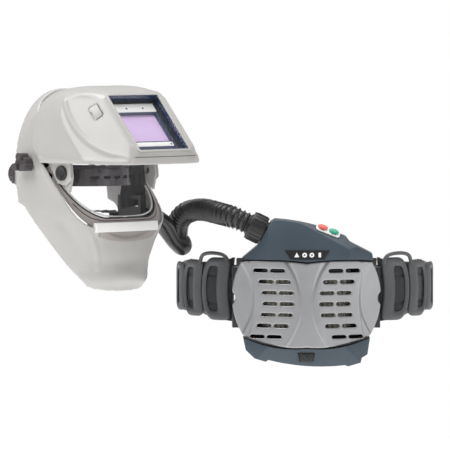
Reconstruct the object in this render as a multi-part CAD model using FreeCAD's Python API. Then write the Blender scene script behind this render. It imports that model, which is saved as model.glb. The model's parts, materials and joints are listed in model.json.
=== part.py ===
import FreeCAD, Part
import math
import os
from FreeCAD import Placement, Rotation, Vector

os.makedirs("parts", exist_ok=True)

# A powered air respirator: a flip-up welding helmet, its breathing hose and the blower
# worn at the back of the waist.  Millimetres, +Z up, and the front of the blower is -Y.
# The origin is the middle of the flat back of the blower, where it rests on the waist.

# ---- driving dimensions -------------------------------------------------------------
WALL = 3.0                     # moulded walls
GAP = 0.4                      # clearance between pieces that move past each other
BACK = -2.0                    # back of the housings; a flat pad stands 2 mm behind it

HOUSING_FRONT = -42.0          # front rim of the rear housing, where the cover starts
COVER_FRONT = -90.0            # front ridge of the cover, before it is rounded
COVER_RAKE = 0.36              # how far each half falls back per mm of width
HALF_WIDTH = 119.0             # blower half width at the cheeks
TOP_Z = 54.0                   # shoulder of the cover
BOTTOM_Z = -80.0               # foot of the cover
BATTERY_BOTTOM = -111.5
FAN_CENTRE = Vector(4.0, 0.0, -8.0)
IMPELLER_RADIUS = 40.0
SHAFT_RADIUS = 2.5

HOSE_DIAMETER = 37.0
HOSE_BORE = 30.0
OUTLET_CENTRE = Vector(-67.0, -45.0, 102.0)
OUTLET_AXIS = Vector(-0.899, 0.0, 0.438)
CAP_LENGTH = 26.0
CAP_RADIUS = 22.5

BELT_CENTRE_Y = 135.0          # middle of the waist, behind the blower
BELT_HALF_WIDTH = 192.0
BELT_HALF_DEPTH = 138.0
PAD_THICKNESS = 11.0

HELMET_ORIGIN = Vector(-370.0, 0.0, 212.0)   # on the headgear tension axis
HELMET_TURN = -44.0                          # the helmet faces right and forward
SHELL_RADIUS = 130.0
SHELL_HALF_WIDTH = 105.0
CROWN_RISE = 131.5                           # flip hinge to the top of the crown
HOOD_RADIUS = 137.0
HOOD_HALF_WIDTH = 111.5
FLIP_X = 70.7                                # flip hinge, in the helmet's own frame
FLIP_Z = -14.0
LENS_TILT = 40.5                             # lens normal above horizontal, hood raised
LENS_REACH = 124.0                           # flip hinge to the front of the lens frame
LENS_HALF_FRAME = 71.0
SIDE_TAPER = 0.61                            # how fast the hood narrows to the lens


# ---- helpers ------------------------------------------------------------------------
def box(x0, x1, y0, y1, z0, z1):
    return Part.makeBox(x1 - x0, y1 - y0, z1 - z0, Vector(x0, y0, z0))


def cylinder(start, end, radius):
    axis = end.sub(start)
    return Part.makeCylinder(radius, axis.Length, start, axis)


def ring(start, end, outer, inner):
    return cylinder(start, end, outer).cut(cylinder(start, end, inner))


def prism_y(edges_or_points, y0, y1):
    """A face drawn in X and Z, pushed from y0 to y1."""
    if isinstance(edges_or_points, Part.Wire):
        wire = edges_or_points.copy()
    else:
        points = [Vector(x, 0, z) for x, z in edges_or_points]
        wire = Part.makePolygon(points + points[:1])
    wire.translate(Vector(0, y0, 0))
    return Part.Face(wire).extrude(Vector(0, y1 - y0, 0))


def prism_z(points, z0, z1):
    corners = [Vector(x, y, z0) for x, y in points]
    return Part.Face(Part.makePolygon(corners + corners[:1])).extrude(Vector(0, 0, z1 - z0))


def arc(a, b, c):
    return Part.Arc(a, b, c).toShape()


def line(a, b):
    return Part.LineSegment(a, b).toShape()


def cut_beyond(shape, point, normal, size=600.0):
    """Take away what lies beyond a plane."""
    block = box(-size, size, -size, size, 0, size)
    block.Placement = Placement(point, Rotation(Vector(0, 0, 1), normal))
    return shape.cut(block)


def stadium(cx, cz, length, height, y0, y1):
    r = height / 2.0
    h = length / 2.0 - r
    body = box(cx - h, cx + h, y0, y1, cz - r, cz + r)
    ends = [cylinder(Vector(cx + s * h, y0, cz), Vector(cx + s * h, y1, cz), r) for s in (-1, 1)]
    return body.fuse(ends).removeSplitter()


def mirror_x(shape):
    return shape.mirror(Vector(0, 0, 0), Vector(1, 0, 0))


def save(name, *shapes):
    solids = []
    for shape in shapes:
        solids += shape.Solids
    for solid in solids:
        if not solid.isValid():
            print("NOT VALID", name)
    result = solids[0] if len(solids) == 1 else Part.makeCompound(solids)
    result.exportStep("parts/" + name + ".step")
    bounds = result.BoundBox
    print(f"{name:22s} {len(solids):3d} solids {sum(s.Volume for s in solids) / 1000:8.1f} cm3"
          f"  x {bounds.XMin:6.0f} {bounds.XMax:6.0f}  y {bounds.YMin:6.0f} {bounds.YMax:6.0f}"
          f"  z {bounds.ZMin:6.0f} {bounds.ZMax:6.0f}")


# ---- blower outlines ----------------------------------------------------------------
def cover_outline(inset=0.0):
    """Front outline of the cover: arched shoulders, bulging cheeks, rounded foot."""
    i = inset
    top_out = Vector(105 - i, 0, TOP_Z - i)
    top_in = Vector(0, 0, TOP_Z - 1 - i)
    crown = Vector(54, 0, TOP_Z + 3 - i)
    cheek = Vector(HALF_WIDTH - i, 0, 2)
    foot_out = Vector(101 - i, 0, -64 + i)
    foot_mid = Vector(52, 0, BOTTOM_Z + 1 + i)
    foot_in = Vector(0, 0, BOTTOM_Z - 1 + i)
    half = [(top_in, crown, top_out), (top_out, cheek, foot_out), (foot_out, foot_mid, foot_in)]
    edges = [arc(a, b, c) for a, b, c in half]
    for points in reversed(half):
        a, b, c = [Vector(-p.x, 0, p.z) for p in points]
        edges.append(arc(c, b, a))
    return Part.Wire(edges)


def vee(offset):
    """Everything behind the raked front of the cover; its ridge is rounded."""
    y = COVER_FRONT + offset
    edge = 130.0
    blend = 26.0
    p = [Vector(-edge, y + COVER_RAKE * edge, -150), Vector(-blend, y + COVER_RAKE * blend, -150),
         Vector(0, y + COVER_RAKE * blend * 0.5, -150),
         Vector(blend, y + COVER_RAKE * blend, -150), Vector(edge, y + COVER_RAKE * edge, -150),
         Vector(edge, 0, -150), Vector(-edge, 0, -150)]
    edges = [line(p[0], p[1]), arc(p[1], p[2], p[3]), line(p[3], p[4]), line(p[4], p[5]),
             line(p[5], p[6]), line(p[6], p[0])]
    return Part.Face(Part.Wire(edges)).extrude(Vector(0, 0, 300))


def waist_band(half_waist, half_end, y0, y1):
    """Hourglass between two arcs that come close at mid height."""
    z = 75.0
    edges = [arc(Vector(half_end, 0, z), Vector(half_waist, 0, -6), Vector(half_end, 0, -z - 12)),
             line(Vector(half_end, 0, -z - 12), Vector(-half_end, 0, -z - 12)),
             arc(Vector(-half_end, 0, -z - 12), Vector(-half_waist, 0, -6), Vector(-half_end, 0, z)),
             line(Vector(-half_end, 0, z), Vector(half_end, 0, z))]
    return prism_y(Part.Wire(edges), y0, y1)


def cheek_region(y0, y1):
    """The middle of the cover, between the two bowed cheek lines."""
    z = 90.0
    edges = [arc(Vector(105, 0, z), Vector(84, 0, -6), Vector(105, 0, -z - 12)),
             line(Vector(105, 0, -z - 12), Vector(-105, 0, -z - 12)),
             arc(Vector(-105, 0, -z - 12), Vector(-84, 0, -6), Vector(-105, 0, z)),
             line(Vector(-105, 0, z), Vector(105, 0, z))]
    return prism_y(Part.Wire(edges), y0, y1)


def slot_places():
    """Seven rows of two slots on each half, bowed like the hourglass."""
    rows = 7
    pitch = 17.6
    top = 41.0
    for row in range(rows):
        z = top - row * pitch
        bow = 18.0 * ((z + 8) / 53.0) ** 2
        for x in (31.0, 58.0):
            yield x + bow, z
            yield -x - bow, z


def grille_cover():
    outline = prism_y(cover_outline(), -100, HOUSING_FRONT)
    outer = outline.common(vee(1.6))
    outer = outer.fuse(outline.common(cheek_region(-100, HOUSING_FRONT)).common(vee(0.0)))
    outer = outer.fuse(outline.common(waist_band(9, 40, -100, HOUSING_FRONT)).common(vee(-1.2)))
    inner = prism_y(cover_outline(WALL), -100, HOUSING_FRONT + 1).common(vee(WALL + 1.6))
    cover = outer.cut(inner)
    slots = [stadium(x, z, 23, 5.2, -100, HOUSING_FRONT - 1) for x, z in slot_places()]
    cover = cover.cut(slots)
    notch = [cylinder(Vector(s * 127, -110, -4), Vector(s * 127, 10, -4), 13) for s in (-1, 1)]
    return cover.cut(notch).removeSplitter()


BELT_ARM = [(103, -36), (118, -36), (119, 0), (113.5, 11.5), (107.4, 20.6), (105.5, -3), (103, -3)]


def rear_housing():
    shell = prism_y(cover_outline(0.6), HOUSING_FRONT + GAP, BACK)
    shell = shell.cut(prism_y(cover_outline(WALL + 0.6), HOUSING_FRONT, BACK - WALL))
    notch = [cylinder(Vector(s * 127, -110, -4), Vector(s * 127, 10, -4), 13.5) for s in (-1, 1)]
    shell = shell.cut(notch).fuse(box(-92, 92, BACK, 0, -58, 44))
    for z0, z1 in ((12, 44), (-52, -24)):
        arm = prism_z(BELT_ARM, z0, z1)
        shell = shell.fuse([arm, mirror_x(arm)])
    return shell


def top_outline(inset=0.0):
    i = inset
    p = [Vector(-103 + 2 * i, 0, 59 + i), Vector(-78 + 1.2 * i, 0, 80 - i),
         Vector(-57 + i, 0, 118 - i), Vector(-50, 0, 122 - i), Vector(10, 0, 112.5 - i),
         Vector(63 - i, 0, 94 - i), Vector(70 - i, 0, 85 - i), Vector(105 - 2 * i, 0, 67 - i),
         Vector(106 - 2 * i, 0, 57.5 + i), Vector(54, 0, 59.0 + i), Vector(0, 0, 55.0 + i),
         Vector(-54, 0, 59.0 + i), Vector(-100 + 2 * i, 0, 57.0 + i)]
    edges = [line(p[0], p[1]), line(p[1], p[2]), line(p[2], p[3]), arc(p[3], p[4], p[5]),
             line(p[5], p[6]), line(p[6], p[7]), line(p[7], p[8]), arc(p[8], p[9], p[10]),
             arc(p[10], p[11], p[12]), line(p[12], p[0])]
    return Part.Wire(edges)


def top_planes(shape, depth=0.0):
    """Facets of the top housing: leaning face, button ledge, outlet and right facets."""
    facets = [(Vector(0, -87, 57), Vector(0, -0.966, 0.259)),
              (Vector(34, -66, 104), Vector(0.28, -0.66, 0.70)),
              (Vector(-60, -80, 82), Vector(-0.70, -0.70, 0.15)),
              (Vector(70, -80, 78), Vector(0.52, -0.83, 0.20))]
    for point, normal in facets:
        unit = Vector(normal).normalize()
        shape = cut_beyond(shape, point.sub(Vector(unit).multiply(depth)), unit)
    return shape


def top_housing():
    body = top_planes(prism_y(top_outline(), -100, BACK))
    hollow = top_planes(prism_y(top_outline(WALL), -100, BACK - WALL), WALL)
    return body.cut(hollow)


def battery_outline():
    p = [Vector(-101, 0, -66.8), Vector(-97, 0, -86), Vector(-83, 0, -99), Vector(-65, 0, -104.5),
         Vector(-61, 0, -101.5), Vector(0, 0, BATTERY_BOTTOM), Vector(61, 0, -110),
         Vector(66, 0, -112), Vector(86, 0, -106), Vector(88, 0, -98), Vector(97, 0, -93),
         Vector(101, 0, -66.8), Vector(52, 0, BOTTOM_Z - 1.6), Vector(0, 0, BOTTOM_Z - 3.2),
         Vector(-52, 0, BOTTOM_Z - 1.6)]
    edges = [line(p[0], p[1]), line(p[1], p[2]), line(p[2], p[3]), line(p[3], p[4]),
             arc(p[4], p[5], p[6]), line(p[6], p[7]), line(p[7], p[8]), line(p[8], p[9]),
             line(p[9], p[10]), line(p[10], p[11]), arc(p[11], p[12], p[13]),
             arc(p[13], p[14], p[0])]
    return Part.Wire(edges)


LATCH_OUTLINE = [(-13, -90.5), (12, -90.5), (9, -104), (-10, -104)]


def battery_pack():
    body = prism_y(battery_outline(), -80, -4)
    body = cut_beyond(body, Vector(0, -76, -84), Vector(0, -0.94, -0.34))
    for side in (-1, 1):
        body = cut_beyond(body, Vector(side * 60, -78, -90), Vector(side * 0.36, -0.93, 0))
    pocket = prism_y([(x * 1.06 + (0.3 if x > 0 else -0.3), z + (0.5 if z > -95 else -0.5))
                      for x, z in LATCH_OUTLINE], -100, -58)
    return body.cut(pocket)


def battery_latch():
    plate = prism_y(LATCH_OUTLINE, -75.5, -64)
    grip = prism_y([(-6, -92.5), (5, -92.5), (-0.5, -97)], -76.7, -75.5)
    dot = cylinder(Vector(-0.5, -76.5, -100), Vector(-0.5, -75.5, -100), 1.6)
    return plate.fuse([grip, dot])


# ---- blower -------------------------------------------------------------------------
def fan_volute():
    c = FAN_CENTRE
    body = cylinder(Vector(c.x, -40, c.z), Vector(c.x, -6, c.z), 53)
    neck = box(-51, -20, -40, -6, -10, 50)
    body = body.fuse(neck)
    cavity = cylinder(Vector(c.x, -38, c.z), Vector(c.x, -8, c.z), 50)
    cavity = cavity.fuse(box(-47.5, -23, -38, -8, -6, 52))
    body = body.cut(cavity)
    eye = cylinder(Vector(c.x, -42, c.z), Vector(c.x, -36, c.z), 26)
    motor_seat = cylinder(Vector(c.x, -10, c.z), Vector(c.x, -4, c.z), 19.3)
    return body.cut([eye, motor_seat]).removeSplitter()


def impeller():
    c = FAN_CENTRE
    disc = ring(Vector(c.x, -14, c.z), Vector(c.x, -12, c.z), IMPELLER_RADIUS, SHAFT_RADIUS + 0.05)
    hub = ring(Vector(c.x, -30, c.z), Vector(c.x, -14, c.z), 9, SHAFT_RADIUS + 0.05)
    blades = []
    count = 18
    for k in range(count):
        blade = box(26, IMPELLER_RADIUS, -34, -14, -0.8, 0.8)
        blade.rotate(Vector(26, 0, 0), Vector(0, 1, 0), 35)
        blade.rotate(Vector(0, 0, 0), Vector(0, 1, 0), 360.0 * k / count)
        blade.translate(Vector(c.x, 0, c.z))
        blades.append(blade)
    wheel = disc.fuse(hub).fuse(blades)
    rim = ring(Vector(c.x, -35, c.z), Vector(c.x, -33.5, c.z), IMPELLER_RADIUS + 3, 27)
    return wheel.fuse(rim)


def motor():
    c = FAN_CENTRE
    can = cylinder(Vector(c.x, -11.5, c.z), Vector(c.x, BACK - WALL, c.z), 19)
    shaft = cylinder(Vector(c.x, -32, c.z), Vector(c.x, -10, c.z), SHAFT_RADIUS)
    return can.fuse(shaft)


def filter_block():
    pleats = 16
    width = 128.0
    pitch = width / pleats
    points = [(-width / 2, -44)]
    for k in range(pleats):
        x = -width / 2 + k * pitch
        points += [(x, -49), (x + pitch / 2, -57)]
    points += [(width / 2, -49), (width / 2, -44)]
    return prism_z(points, -52, 36)


def filter_gasket():
    frame = box(-70, 70, -48, -43, -58, 42)
    return frame.cut(box(-64.2, 64.2, -50, -42, -52.2, 36.2))


def outlet_point(distance):
    return OUTLET_CENTRE + OUTLET_AXIS * distance


def outlet_spigot():
    tube = ring(outlet_point(-14), outlet_point(18), 16.5, 13.5)
    flange = ring(outlet_point(-14), outlet_point(-10), 22, 13.5)
    return tube.fuse(flange)


def hose_cap():
    cap = ring(outlet_point(1.5), outlet_point(CAP_LENGTH), CAP_RADIUS, 19.8)
    lip = ring(outlet_point(CAP_LENGTH - 3), outlet_point(CAP_LENGTH), CAP_RADIUS - 0.5, 19.4)
    ribs = []
    count = 20
    middle = outlet_point(CAP_LENGTH / 2)
    for k in range(count):
        rib = box(-1.3, 1.3, CAP_RADIUS - 1, CAP_RADIUS + 0.9, -9.5, 9.5)
        rib.rotate(Vector(0, 0, 0), Vector(0, 0, 1), 360.0 * k / count)
        rib.Placement = Placement(middle, Rotation(Vector(0, 0, 1), OUTLET_AXIS)) * rib.Placement
        ribs.append(rib)
    return cap.fuse(lip).fuse(ribs)


def hose_cuff():
    return ring(outlet_point(4), outlet_point(CAP_LENGTH), 19.0, 16.8)


# ---- display and buttons ------------------------------------------------------------
FACE_POINT = Vector(0, -87, 57)
FACE_NORMAL = Vector(0, -0.966, 0.259)
LEDGE_POINT = Vector(34, -66, 104)
LEDGE_NORMAL = Vector(0.28, -0.66, 0.70)


def on_face(shape):
    """Place a shape drawn with X across, Y up the face and Z out of it."""
    shape.Placement = Placement(FACE_POINT, Rotation(Vector(1, 0, 0), Vector(0, 0.259, 0.966),
                                                     Vector(0, -0.966, 0.259), "ZXY"))
    return shape


def on_ledge(shape):
    normal = Vector(LEDGE_NORMAL).normalize()
    across = Vector(0, 1, 0).cross(normal).normalize()
    up = normal.cross(across)
    shape.Placement = Placement(LEDGE_POINT, Rotation(across, up, normal, "ZXY"))
    return shape


def display_window():
    plate = prism_z([(-35, 17.2), (36, 17.2), (27, 2.5), (-26, 2.5)], 0.0, 1.4)
    return on_face(plate)


def display_icons():
    icons = [prism_z([(-20, 6), (-12, 6), (-16, 13.5)], 1.4, 1.9)]
    for x in (-3.5, 8.0):
        fan = Part.makeCylinder(3.8, 0.5, Vector(x, 9.5, 1.4))
        icons.append(fan.cut(Part.makeCylinder(1.4, 2, Vector(x, 9.5, 1))))
    icons.append(box(18.5, 22.5, 6, 13.5, 1.4, 1.9))
    return [on_face(icon) for icon in icons]


def button_surround():
    plate = box(-20, 20, -7, 7, 0, 2.2)
    plate = plate.makeFillet(4.0, [e for e in plate.Edges if abs(e.BoundBox.ZLength - 2.2) < 0.01])
    for x in (-10, 9):
        plate = plate.cut(Part.makeCylinder(5.6, 10, Vector(x, 0, 0.8)))
    return on_ledge(plate)


def button(x):
    cap = Part.makeCylinder(5.2, 4.2, Vector(x, 0, 2.0))
    cap = cap.makeFillet(1.2, [e for e in cap.Edges if e.BoundBox.ZMin > 6.0])
    return on_ledge(cap)


# ---- hose ---------------------------------------------------------------------------
HOSE_ROUTE = [outlet_point(CAP_LENGTH), outlet_point(CAP_LENGTH + 18.5), Vector(-122, -38.5, 126.6),
              Vector(-134.5, -27, 129.2), Vector(-144, -9, 131), Vector(-152.5, 12, 132.4),
              Vector(-160.5, 33.5, 133.3), Vector(-170, 56, 133.2), Vector(-182, 79, 131),
              Vector(-196.5, 97, 124.5), Vector(-205.5, 108, 112.5), Vector(-208.8, 112.8, 100.2),
              Vector(-209, 115, 88)]


def route_path(points):
    """Straight runs joined by tangent arcs, each as large as its two runs allow."""
    edges = []
    radii = []
    start = points[0]
    for before, corner, after in zip(points, points[1:], points[2:]):
        back = before.sub(corner)
        ahead = after.sub(corner)
        turn = math.pi - back.getAngle(ahead)
        reach = 0.45 * min(back.Length, ahead.Length)
        radii.append(reach / math.tan(turn / 2))
        first = corner + back.normalize() * reach
        last = corner + ahead.normalize() * reach
        inward = (first + last) * 0.5
        centre_way = inward.sub(corner).normalize()
        centre = corner + centre_way * math.hypot(radii[-1], reach)
        middle = centre - centre_way * radii[-1]
        edges.append(line(start, first))
        edges.append(arc(first, middle, last))
        start = last
    edges.append(line(start, points[-1]))
    return Part.Wire(edges), radii


def hose_core(diameter):
    path = route_path(HOSE_ROUTE)[0]
    heading = HOSE_ROUTE[1].sub(HOSE_ROUTE[0])
    circle = Part.Wire(Part.makeCircle(diameter / 2, HOSE_ROUTE[0], heading))
    return path.makePipeShell([circle], True, False)


def breathing_hose():
    path, radii = route_path(HOSE_ROUTE)
    print("hose radii", [round(r) for r in radii], "length", round(path.Length, 1))
    tube = hose_core(HOSE_DIAMETER).cut(hose_core(HOSE_BORE))
    section = math.pi * (HOSE_DIAMETER ** 2 - HOSE_BORE ** 2) / 4
    print("hose volume ratio", round(tube.Volume / (section * path.Length), 4))
    return tube


# ---- belt ---------------------------------------------------------------------------
def belt_point(angle, offset=0.0):
    a = math.radians(angle)
    x = (BELT_HALF_WIDTH + offset) * math.sin(a)
    y = BELT_CENTRE_Y - (BELT_HALF_DEPTH + offset) * math.cos(a)
    return x, y


def belt_band(a0, a1, inner, outer, z0, z1):
    """A stretch of the belt oval on the +X side, between two angles from the blower."""
    def curve(offset, reverse):
        steps = 6
        angles = [a0 + (a1 - a0) * k / steps for k in range(steps + 1)]
        if reverse:
            angles.reverse()
        spline = Part.BSplineCurve()
        spline.interpolate([Vector(*belt_point(t, offset), z0) for t in angles])
        return spline.toShape()
    inside = curve(inner, False)
    outside = curve(outer, True)
    e1 = line(inside.lastVertex().Point, outside.firstVertex().Point)
    e2 = line(outside.lastVertex().Point, inside.firstVertex().Point)
    return Part.Face(Part.Wire([inside, e1, outside, e2])).extrude(Vector(0, 0, z1 - z0))


def belt_pad():
    pad = belt_band(34.6, 112, 0, PAD_THICKNESS, -50, 62)
    for z0, angle in ((62, 9), (-50, -9)):
        wedge = box(-400, 400, -400, 400, 0, 400)
        if z0 < 0:
            wedge = box(-400, 400, -400, 400, -400, 0)
        wedge.Placement = Placement(Vector(105, 0, z0), Rotation(Vector(0, 1, 0), angle))
        pad = pad.cut(wedge)
    return pad


def belt_links():
    links = []
    spans = ((35, 50, 56, -42), (51.3, 69, 52, -38), (70.5, 92, 46, -30))
    for a0, a1, top, bottom in spans:
        link = belt_band(a0, a1, PAD_THICKNESS + 0.2, PAD_THICKNESS + 5.2, bottom, top)
        middle = (a0 + a1) / 2
        x, y = belt_point(middle)
        mid_z = (top + bottom) / 2
        way = Vector(math.sin(math.radians(middle)), -math.cos(math.radians(middle)), 0)
        window = cylinder(Vector(x, y, mid_z) - way * 10, Vector(x, y, mid_z) + way * 60, 10)
        links.append(link.cut(window))
    return links


def belt_loop():
    """Strap loop that bridges the tops of the first two links."""
    loop = belt_band(35.5, 56, PAD_THICKNESS + 5.6, PAD_THICKNESS + 9.6, 44, 67)
    slot = belt_band(40, 52, PAD_THICKNESS, PAD_THICKNESS + 20, 57, 63)
    return loop.cut(slot)


def belt_webbing():
    return belt_band(112.2, 168, -3, -0.5, -16, 34)


def buckle_socket():
    body = box(-30, 32, 272, 288, -12, 30)
    return body.cut(box(-31, 20, 276, 284, -6, 24))


def buckle_plug():
    tongue = box(-29, 19, 276.4, 283.6, -5.5, 23.5)
    bar = box(-52, -30.5, 273, 287, -12, 30)
    return tongue.fuse(bar).fuse(box(-31, -28, 276.4, 283.6, -5.5, 23.5))


# ---- helmet, in its own frame: X forward, Y to the wearer's left, Z up ----------------
FLIP = Vector(FLIP_X, 0, FLIP_Z)
LENS_NORMAL = Vector(math.cos(math.radians(LENS_TILT)), 0, math.sin(math.radians(LENS_TILT)))
LENS_UP = Vector(-LENS_NORMAL.z, 0, LENS_NORMAL.x)


def place_helmet(shape):
    shape = shape.copy()
    frame = Placement(HELMET_ORIGIN, Rotation(Vector(0, 0, 1), HELMET_TURN))
    shape.Placement = frame * shape.Placement
    return shape


def save_helmet(name, *shapes):
    save(name, *[place_helmet(shape) for shape in shapes])


def wheel(radius, half_width, power=4.5):
    """A drum about the flip hinge with a superelliptic profile."""
    steps = 14
    points = []
    for k in range(steps + 1):
        a = math.pi * k / steps
        r = radius * math.sin(a) ** (2 / power) if 0 < k < steps else 0.0
        c = math.cos(a)
        y = half_width * math.copysign(abs(c) ** (2 / power), c)
        points.append(Vector(FLIP_X + r, y, FLIP_Z))
    spline = Part.BSplineCurve()
    spline.interpolate(points)
    profile = Part.Wire([spline.toShape(), line(points[-1], points[0])])
    solid = Part.Face(profile).revolve(FLIP, Vector(0, 1, 0), 360)
    return solid


def oval(z, centre, reach, half_width, power, steps=32):
    points = []
    for k in range(steps):
        a = 2 * math.pi * k / steps
        c = math.cos(a)
        s = math.sin(a)
        x = centre + reach * math.copysign(abs(c) ** (2 / power), c)
        y = half_width * math.copysign(abs(s) ** (2 / power), s)
        points.append(Vector(x, y, z))
    spline = Part.BSplineCurve()
    spline.interpolate(Points=points, PeriodicFlag=True)
    return Part.Wire(spline.toShape())


FACE_SECTIONS = [(FLIP_Z, 46, 111, 104.4, 6), (-45, 42, 107, 104, 5.5),
                 (-75, 37, 99, 102.5, 5), (-98, 33, 92, 99, 4.4), (-115, 31, 89, 95, 3.9),
                 (-150, 30, 88, 86, 3.2), (-180, 30, 86, 78, 2.8), (-203, 30, 81, 72, 2.6)]


def face_loft(inset):
    wires = []
    for z, centre, reach, half_width, power in FACE_SECTIONS:
        wires.append(oval(z, centre, reach - inset, half_width - inset, power))
    return Part.makeLoft(wires, True, False)


def taper_planes(shape, inset):
    """Narrow a shape towards the lens on both sides."""
    for side in (-1, 1):
        normal = Vector(LENS_NORMAL).multiply(SIDE_TAPER)
        normal = (normal + Vector(0, side, 0)).normalize()
        point = FLIP + LENS_NORMAL * LENS_REACH + Vector(0, side * LENS_HALF_FRAME, 0)
        shape = cut_beyond(shape, point - normal * inset, normal)
    return shape


def crown_arch(inset):
    """Raised rear of the crown, behind the flip-up front."""
    steps = 14
    power = 2.2
    points = []
    for k in range(steps + 1):
        a = math.pi * k / steps
        c = math.cos(a)
        y = (SHELL_HALF_WIDTH - inset) * math.copysign(abs(c) ** (2 / power), c)
        z = FLIP_Z + (CROWN_RISE - inset) * max(0.0, math.sin(a)) ** (2 / power)
        points.append(Vector(-80, y, z))
    points[-1].z = FLIP_Z
    spline = Part.BSplineCurve()
    spline.interpolate(points)
    profile = Part.Wire([spline.toShape(), line(points[-1], points[0])])
    arch = Part.Face(profile).extrude(Vector(180, 0, 0))
    front = [(40, FLIP_Z - 1), (40, 1), (-16, 97), (-44, 200), (-300, 200), (-300, FLIP_Z - 1)]
    return arch.common(prism_y([(x - inset, z) for x, z in front], -300, 300))


def helmet_solid(inset):
    upper = wheel(SHELL_RADIUS - inset, SHELL_HALF_WIDTH - inset)
    upper = upper.common(box(-300, 400, -200, 200, FLIP_Z, 300))
    upper = taper_planes(upper, 5.0 + inset)
    return upper.fuse([crown_arch(inset), face_loft(inset)])


REAR_CUT = [(-300, 300), (-30, 300), (-30, -40), (-27, -63), (-11, -70), (93, -197),
            (110, -202.5), (110, -300), (-300, -300)]
VIEW_CUT = [(28, 6), (75, 45), (111, 110), (150, 250), (500, 250), (500, -100), (116, -100)]


def helmet_shell():
    shell = helmet_solid(0).cut(helmet_solid(WALL))
    shell = shell.cut(prism_y(REAR_CUT, -300, 300))
    shell = shell.cut(prism_y(VIEW_CUT, -300, 300))
    for side in (-1, 1):
        shell = shell.cut(cylinder(Vector(0, side * 90, 0), Vector(0, side * 120, 0), 5.05))
    return shell.cut(elbow_solid())


def lip_bar():
    """White bar along the lower edge of the view opening."""
    outline = [(100, -72), (112, -70), (120, -60), (125, -20), (125, 20), (120, 60), (112, 70),
               (100, 72), (104, 60), (110, 0), (104, -60)]
    bar = prism_z(outline, -107, -93)
    return bar.cut(helmet_solid(0).common(box(0, 300, -200, 200, -300, -99.8)))


def lens_frame_box(across, up, s0, s1):
    """A block centred on the lens axis, in the tilted frame of the lens."""
    block = Part.makeBox(s1 - s0, across, up, Vector(s0, -across / 2, -up / 2))
    turn = Rotation(LENS_NORMAL, Vector(0, 1, 0), LENS_UP, "XYZ")
    block.Placement = Placement(FLIP, turn)
    return block


def lens_disc(across, up, s0, s1, radius):
    base = FLIP + Vector(0, across, 0) + LENS_UP * up
    return cylinder(base + LENS_NORMAL * s0, base + LENS_NORMAL * s1, radius)


def hood_solid(inset):
    body = wheel(HOOD_RADIUS - inset, HOOD_HALF_WIDTH - inset)
    body = taper_planes(body, inset)
    return cut_beyond(body, FLIP + LENS_NORMAL * (LENS_REACH - inset), LENS_NORMAL)


HOOD_SIDE = [(32, 1), (17, 20), (14, 52), (20, 92), (36, 200), (400, 200), (400, 1)]


def flip_front():
    walls = hood_solid(0).cut(hood_solid(WALL))
    walls = walls.common(prism_y(HOOD_SIDE, -300, 300))
    walls = walls.cut(lens_frame_box(114, 109, 100, 140))
    lip = hood_solid(0).common(box(150, 300, -200, 200, 1, 13)).cut(hood_solid(13))
    lip = lip.cut(lens_frame_box(118, 113, 60, 140))
    walls = walls.fuse(lip)
    tray = lens_frame_box(122, 117, LENS_REACH - 17, LENS_REACH - 2)
    tray = tray.cut(lens_frame_box(114, 109, 100, 140))
    walls = walls.fuse(tray.common(hood_solid(0)))
    for side in (-1, 1):
        bridge = box(46, 88, min(side * 96, side * 109), max(side * 96, side * 109), 2, 9)
        ear = prism_y([(34, 9), (88, 9), (92, -24), (80, -34), (60, -32)],
                      min(side * 96, side * 99), max(side * 96, side * 99))
        hole = cylinder(FLIP + Vector(0, side * 90, 0), FLIP + Vector(0, side * 105, 0), 6.0)
        walls = walls.fuse([bridge, ear]).cut(hole)
    button_hole = grind_shape(0.5, 90, 130)
    return walls.cut(button_hole)


GRIND_PLACE = FLIP + LENS_NORMAL * 108 + LENS_UP * 36
GRIND_HALF = LENS_HALF_FRAME + (LENS_REACH - 108) * SIDE_TAPER


def grind_shape(grow, low, high):
    """Push button in the right flank of the hood; low and high are across the helmet."""
    normal = (LENS_NORMAL * SIDE_TAPER + Vector(0, -1, 0)).normalize()
    along = LENS_UP
    across = along.cross(normal)
    block = Part.makeBox(14 + 2 * grow, 22 + 2 * grow, high - low,
                         Vector(-7 - grow, -11 - grow, low))
    origin = GRIND_PLACE + Vector(0, -GRIND_HALF, 0) - normal * 100
    block.Placement = Placement(origin, Rotation(across, along, normal, "ZXY"))
    return block


def flip_pivot(side):
    """Pivot button: a large dark disc inside, a stub through the ear of the hood."""
    head = cylinder(FLIP + Vector(0, side * 84, 0), FLIP + Vector(0, side * 90.5, 0), 11.5)
    stub = cylinder(FLIP + Vector(0, side * 90, 0), FLIP + Vector(0, side * 101, 0), 5.95)
    cap = cylinder(FLIP + Vector(0, side * 99.4, 0), FLIP + Vector(0, side * 102, 0), 9)
    return head.fuse([stub, cap])


def shield_band(inner, outer, z0, z1):
    wires = [oval(z0, 20, 95 + outer, 92 + outer, 3.4), oval(z0, 20, 95 + inner, 92 + inner, 3.4)]
    faces = [Part.Face(w).extrude(Vector(0, 0, z1 - z0)) for w in wires]
    return faces[0].cut(faces[1])


def shield_window():
    sheet = shield_band(-2, 0, -110, 60)
    keep = prism_y([(150, -124), (150, 60), (84, 60), (84, -50)], -300, 300)
    return sheet.common(keep)


def shield_frame():
    band = shield_band(0.2, 4, -120, 40)
    edge = band.common(prism_y([(150, -130), (150, -121), (62, -22), (62, -31)], -300, 300))
    plates = []
    for side in (-1, 1):
        y0 = min(side * 91, side * 95.5)
        y1 = max(side * 91, side * 95.5)
        plate = prism_y([(30, -8), (62, 12), (86, 8), (90, -20), (84, -44), (62, -26)], y0, y1)
        hole = cylinder(FLIP + Vector(0, side * 88, 0), FLIP + Vector(0, side * 98, 0), 6.0)
        plates.append(plate.cut(hole))
    return edge, plates


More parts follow.
